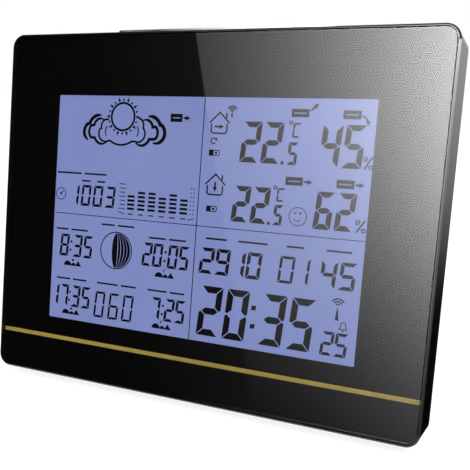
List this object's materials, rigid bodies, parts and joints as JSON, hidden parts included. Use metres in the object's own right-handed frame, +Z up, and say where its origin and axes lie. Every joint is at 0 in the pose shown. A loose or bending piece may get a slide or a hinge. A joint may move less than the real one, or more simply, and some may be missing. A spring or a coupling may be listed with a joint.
{
  "type": "home weather station",
  "caption": "Flat desk weather station with a flush glossy lens over a back-lit segment display, a snooze bar on top, rear keys, battery bay and fold-out leg.",
  "frame": {"origin": "middle of the base foot, on the desk", "axes": "+Z up, the display faces -Y and leans back 10 degrees towards +Y, +X to the viewer's right"},
  "size_m": [0.191, 0.0761, 0.1505],
  "materials": {
    "lens_clear": "clear polished acrylic",
    "print_black": "black print behind the lens",
    "stripe_gold": "gold print behind the lens",
    "case_black": "polished black moulding",
    "cover_black": "fine spark-textured black moulding",
    "snooze_silver": "silver painted moulding",
    "key_black": "moulded silicone",
    "rubber_black": "moulded rubber",
    "display_blue": "back-lit display film",
    "glass_clear": "thin float glass",
    "plastic_white": "white moulding",
    "board_green": "solder-masked board",
    "board_blue": "solder-masked board",
    "part_black": "moulded component",
    "steel": "bright plated steel",
    "copper": "enamelled copper wire",
    "brass": "plated brass",
    "ferrite": "sintered ferrite",
    "contact_pink": "layered conductive rubber",
    "foil": "flexible printed foil",
    "cell_wrap": "plain printed sleeve",
    "film_white": "matt film"
  },
  "bodies": {
    "case": {"front_lens": "lens_clear", "lens_print": "print_black", "gold_stripe": "stripe_gold", "lens_adhesive": "part_black", "front_bezel": "case_black", "front_polariser": "display_blue", "front_glass": "glass_clear", "rear_glass": "glass_clear", "rear_polariser": "display_blue", "display_frame": "plastic_white", "diffuser_sheet": "film_white", "light_guide": "lens_clear", "reflector_sheet": "film_white", "lamp_strip": "foil", "backlight_lamps": "plastic_white", "contact_rubbers": "contact_pink", "main_board": "board_green", "chip_domes": "part_black", "watch_crystal": "steel", "supply_capacitor": "part_black", "pressure_sensor": "steel", "humidity_sensor": "plastic_white", "radio_board": "board_blue", "radio_pins": "brass", "radio_coil": "copper", "ferrite_rod": "ferrite", "ferrite_winding": "copper", "board_screws": "steel", "key_switches": "part_black", "snooze_board": "board_green", "snooze_switches": "part_black", "snooze_ribbon": "film_white", "slide_switch": "steel", "power_socket": "part_black", "power_socket_pin": "brass", "buzzer_disc": "brass", "buzzer_ceramic": "film_white", "rear_cover": "cover_black", "batteries": "cell_wrap", "battery_plates": "steel", "battery_springs": "steel", "stand_pin": "steel", "base_foot": "rubber_black", "case_screws": "steel"},
    "snooze_bar": {"snooze_bar": "snooze_silver"},
    "key_set": {"key_set": "key_black"},
    "key_plus": {"key_plus": "key_black"},
    "key_minus": {"key_minus": "key_black"},
    "key_channel": {"key_channel": "key_black"},
    "key_history": {"key_history": "key_black"},
    "key_alarm": {"key_alarm": "key_black"},
    "slide_knob": {"slide_knob": "key_black"},
    "battery_door": {"battery_door": "cover_black"},
    "stand": {"stand_leg": "cover_black", "stand_pad": "rubber_black"}
  },
  "joints": [
    {"name": "snooze_press", "type": "slide", "parent": "case", "child": "snooze_bar", "axis": [0, -0.1736, -0.9848], "range_m": [0, 0.0008], "stiffness_N_per_m": 1500, "springref_m": -0.0004},
    {"name": "key_set_press", "type": "slide", "parent": "case", "child": "key_set", "axis": [0, -0.9848, 0.1736], "range_m": [0, 0.0008], "stiffness_N_per_m": 900, "springref_m": -0.0003},
    {"name": "key_plus_press", "type": "slide", "parent": "case", "child": "key_plus", "axis": [0, -0.9848, 0.1736], "range_m": [0, 0.0008], "stiffness_N_per_m": 900, "springref_m": -0.0003},
    {"name": "key_minus_press", "type": "slide", "parent": "case", "child": "key_minus", "axis": [0, -0.9848, 0.1736], "range_m": [0, 0.0008], "stiffness_N_per_m": 900, "springref_m": -0.0003},
    {"name": "key_channel_press", "type": "slide", "parent": "case", "child": "key_channel", "axis": [0, -0.9848, 0.1736], "range_m": [0, 0.0008], "stiffness_N_per_m": 900, "springref_m": -0.0003},
    {"name": "key_history_press", "type": "slide", "parent": "case", "child": "key_history", "axis": [0, -0.9848, 0.1736], "range_m": [0, 0.0008], "stiffness_N_per_m": 900, "springref_m": -0.0003},
    {"name": "key_alarm_press", "type": "slide", "parent": "case", "child": "key_alarm", "axis": [0, -0.9848, 0.1736], "range_m": [0, 0.0008], "stiffness_N_per_m": 900, "springref_m": -0.0003},
    {"name": "slide_knob_shift", "type": "slide", "parent": "case", "child": "slide_knob", "axis": [0, 0.1736, 0.9848], "range_m": [0, 0.002]},
    {"name": "battery_door_hinge", "type": "hinge", "parent": "case", "child": "battery_door", "pos_m": [0, 0.02702, 0.06504], "axis": [-1, 0, 0], "range_deg": [0, 95]},
    {"name": "stand_fold", "type": "hinge", "parent": "case", "child": "stand", "pos_m": [0, 0.01595, 0.01206], "axis": [1, 0, 0], "range_deg": [0, 91.2]}
  ]
}
